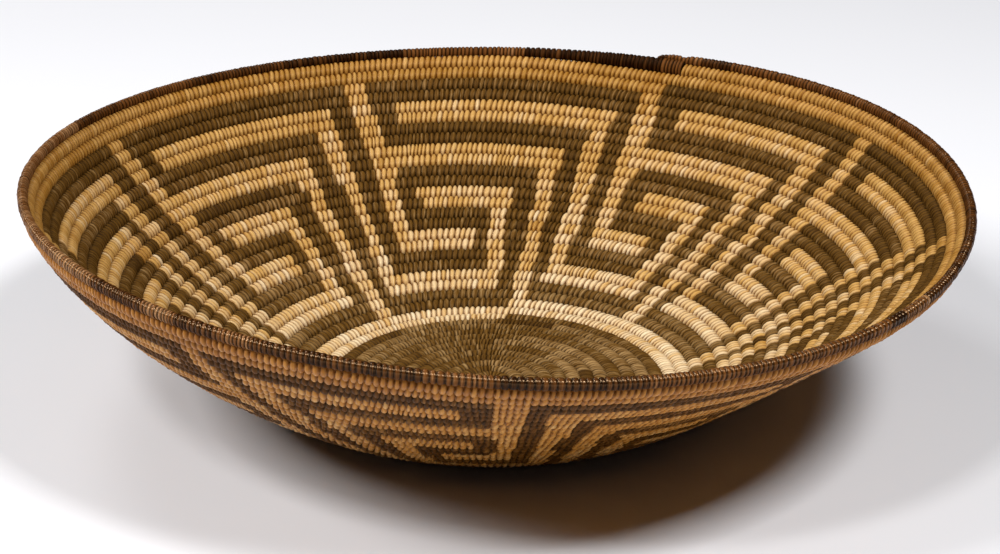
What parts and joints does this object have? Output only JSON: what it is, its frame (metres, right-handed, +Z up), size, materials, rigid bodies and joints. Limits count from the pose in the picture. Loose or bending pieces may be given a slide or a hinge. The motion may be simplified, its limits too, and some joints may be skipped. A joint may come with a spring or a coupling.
{
  "type": "coiled basketry bowl",
  "caption": "Wide, shallow coiled basket bowl: a flat base, a flaring wall sewn in light and dark splint with an interlocking fret, and a closely wrapped rim.",
  "frame": {"origin": "middle of the face that the base rests on", "axes": "+Z up out of the bowl, +Y towards the high side of the rim at the back of the picture, +X to the right in the picture"},
  "size_m": [0.368, 0.391, 0.0961],
  "materials": {
    "dark_splint": "split devil's claw, sewn, with a dull sheen",
    "light_splint": "split willow, sewn, mellowed to gold",
    "rim_splint": "dark and amber splint, rubbed glossy by handling"
  },
  "bodies": {
    "root": {"start_knot": "dark_splint", "base_round_01": "dark_splint", "base_round_02": "dark_splint", "base_round_03": "dark_splint", "base_round_04": "dark_splint", "base_round_05": "dark_splint", "base_round_06": "dark_splint", "base_round_07": "dark_splint", "base_round_08": "dark_splint", "base_round_09": "dark_splint", "base_round_10": "dark_splint", "base_round_11": "dark_splint", "pale_ring_round_01": "light_splint", "pale_ring_round_02": "light_splint", "wall_round_01": "dark_splint", "wall_round_02": "dark_splint", "wall_round_03": "light_splint", "wall_round_04": "light_splint", "wall_round_05": "dark_splint", "wall_round_06": "dark_splint", "wall_round_07": "light_splint", "wall_round_08": "light_splint", "wall_round_09": "dark_splint", "wall_round_10": "dark_splint", "wall_round_11": "light_splint", "wall_round_12": "light_splint", "wall_round_13": "dark_splint", "wall_round_14": "dark_splint", "wall_round_15": "light_splint", "wall_round_16": "light_splint", "wall_round_17": "dark_splint", "wall_round_18": "dark_splint", "wall_round_19": "light_splint", "wall_round_20": "light_splint", "wall_round_21": "dark_splint", "wall_round_22": "dark_splint", "wall_round_23": "light_splint", "wall_round_24": "light_splint", "rim_round": "rim_splint"}
  },
  "joints": []
}
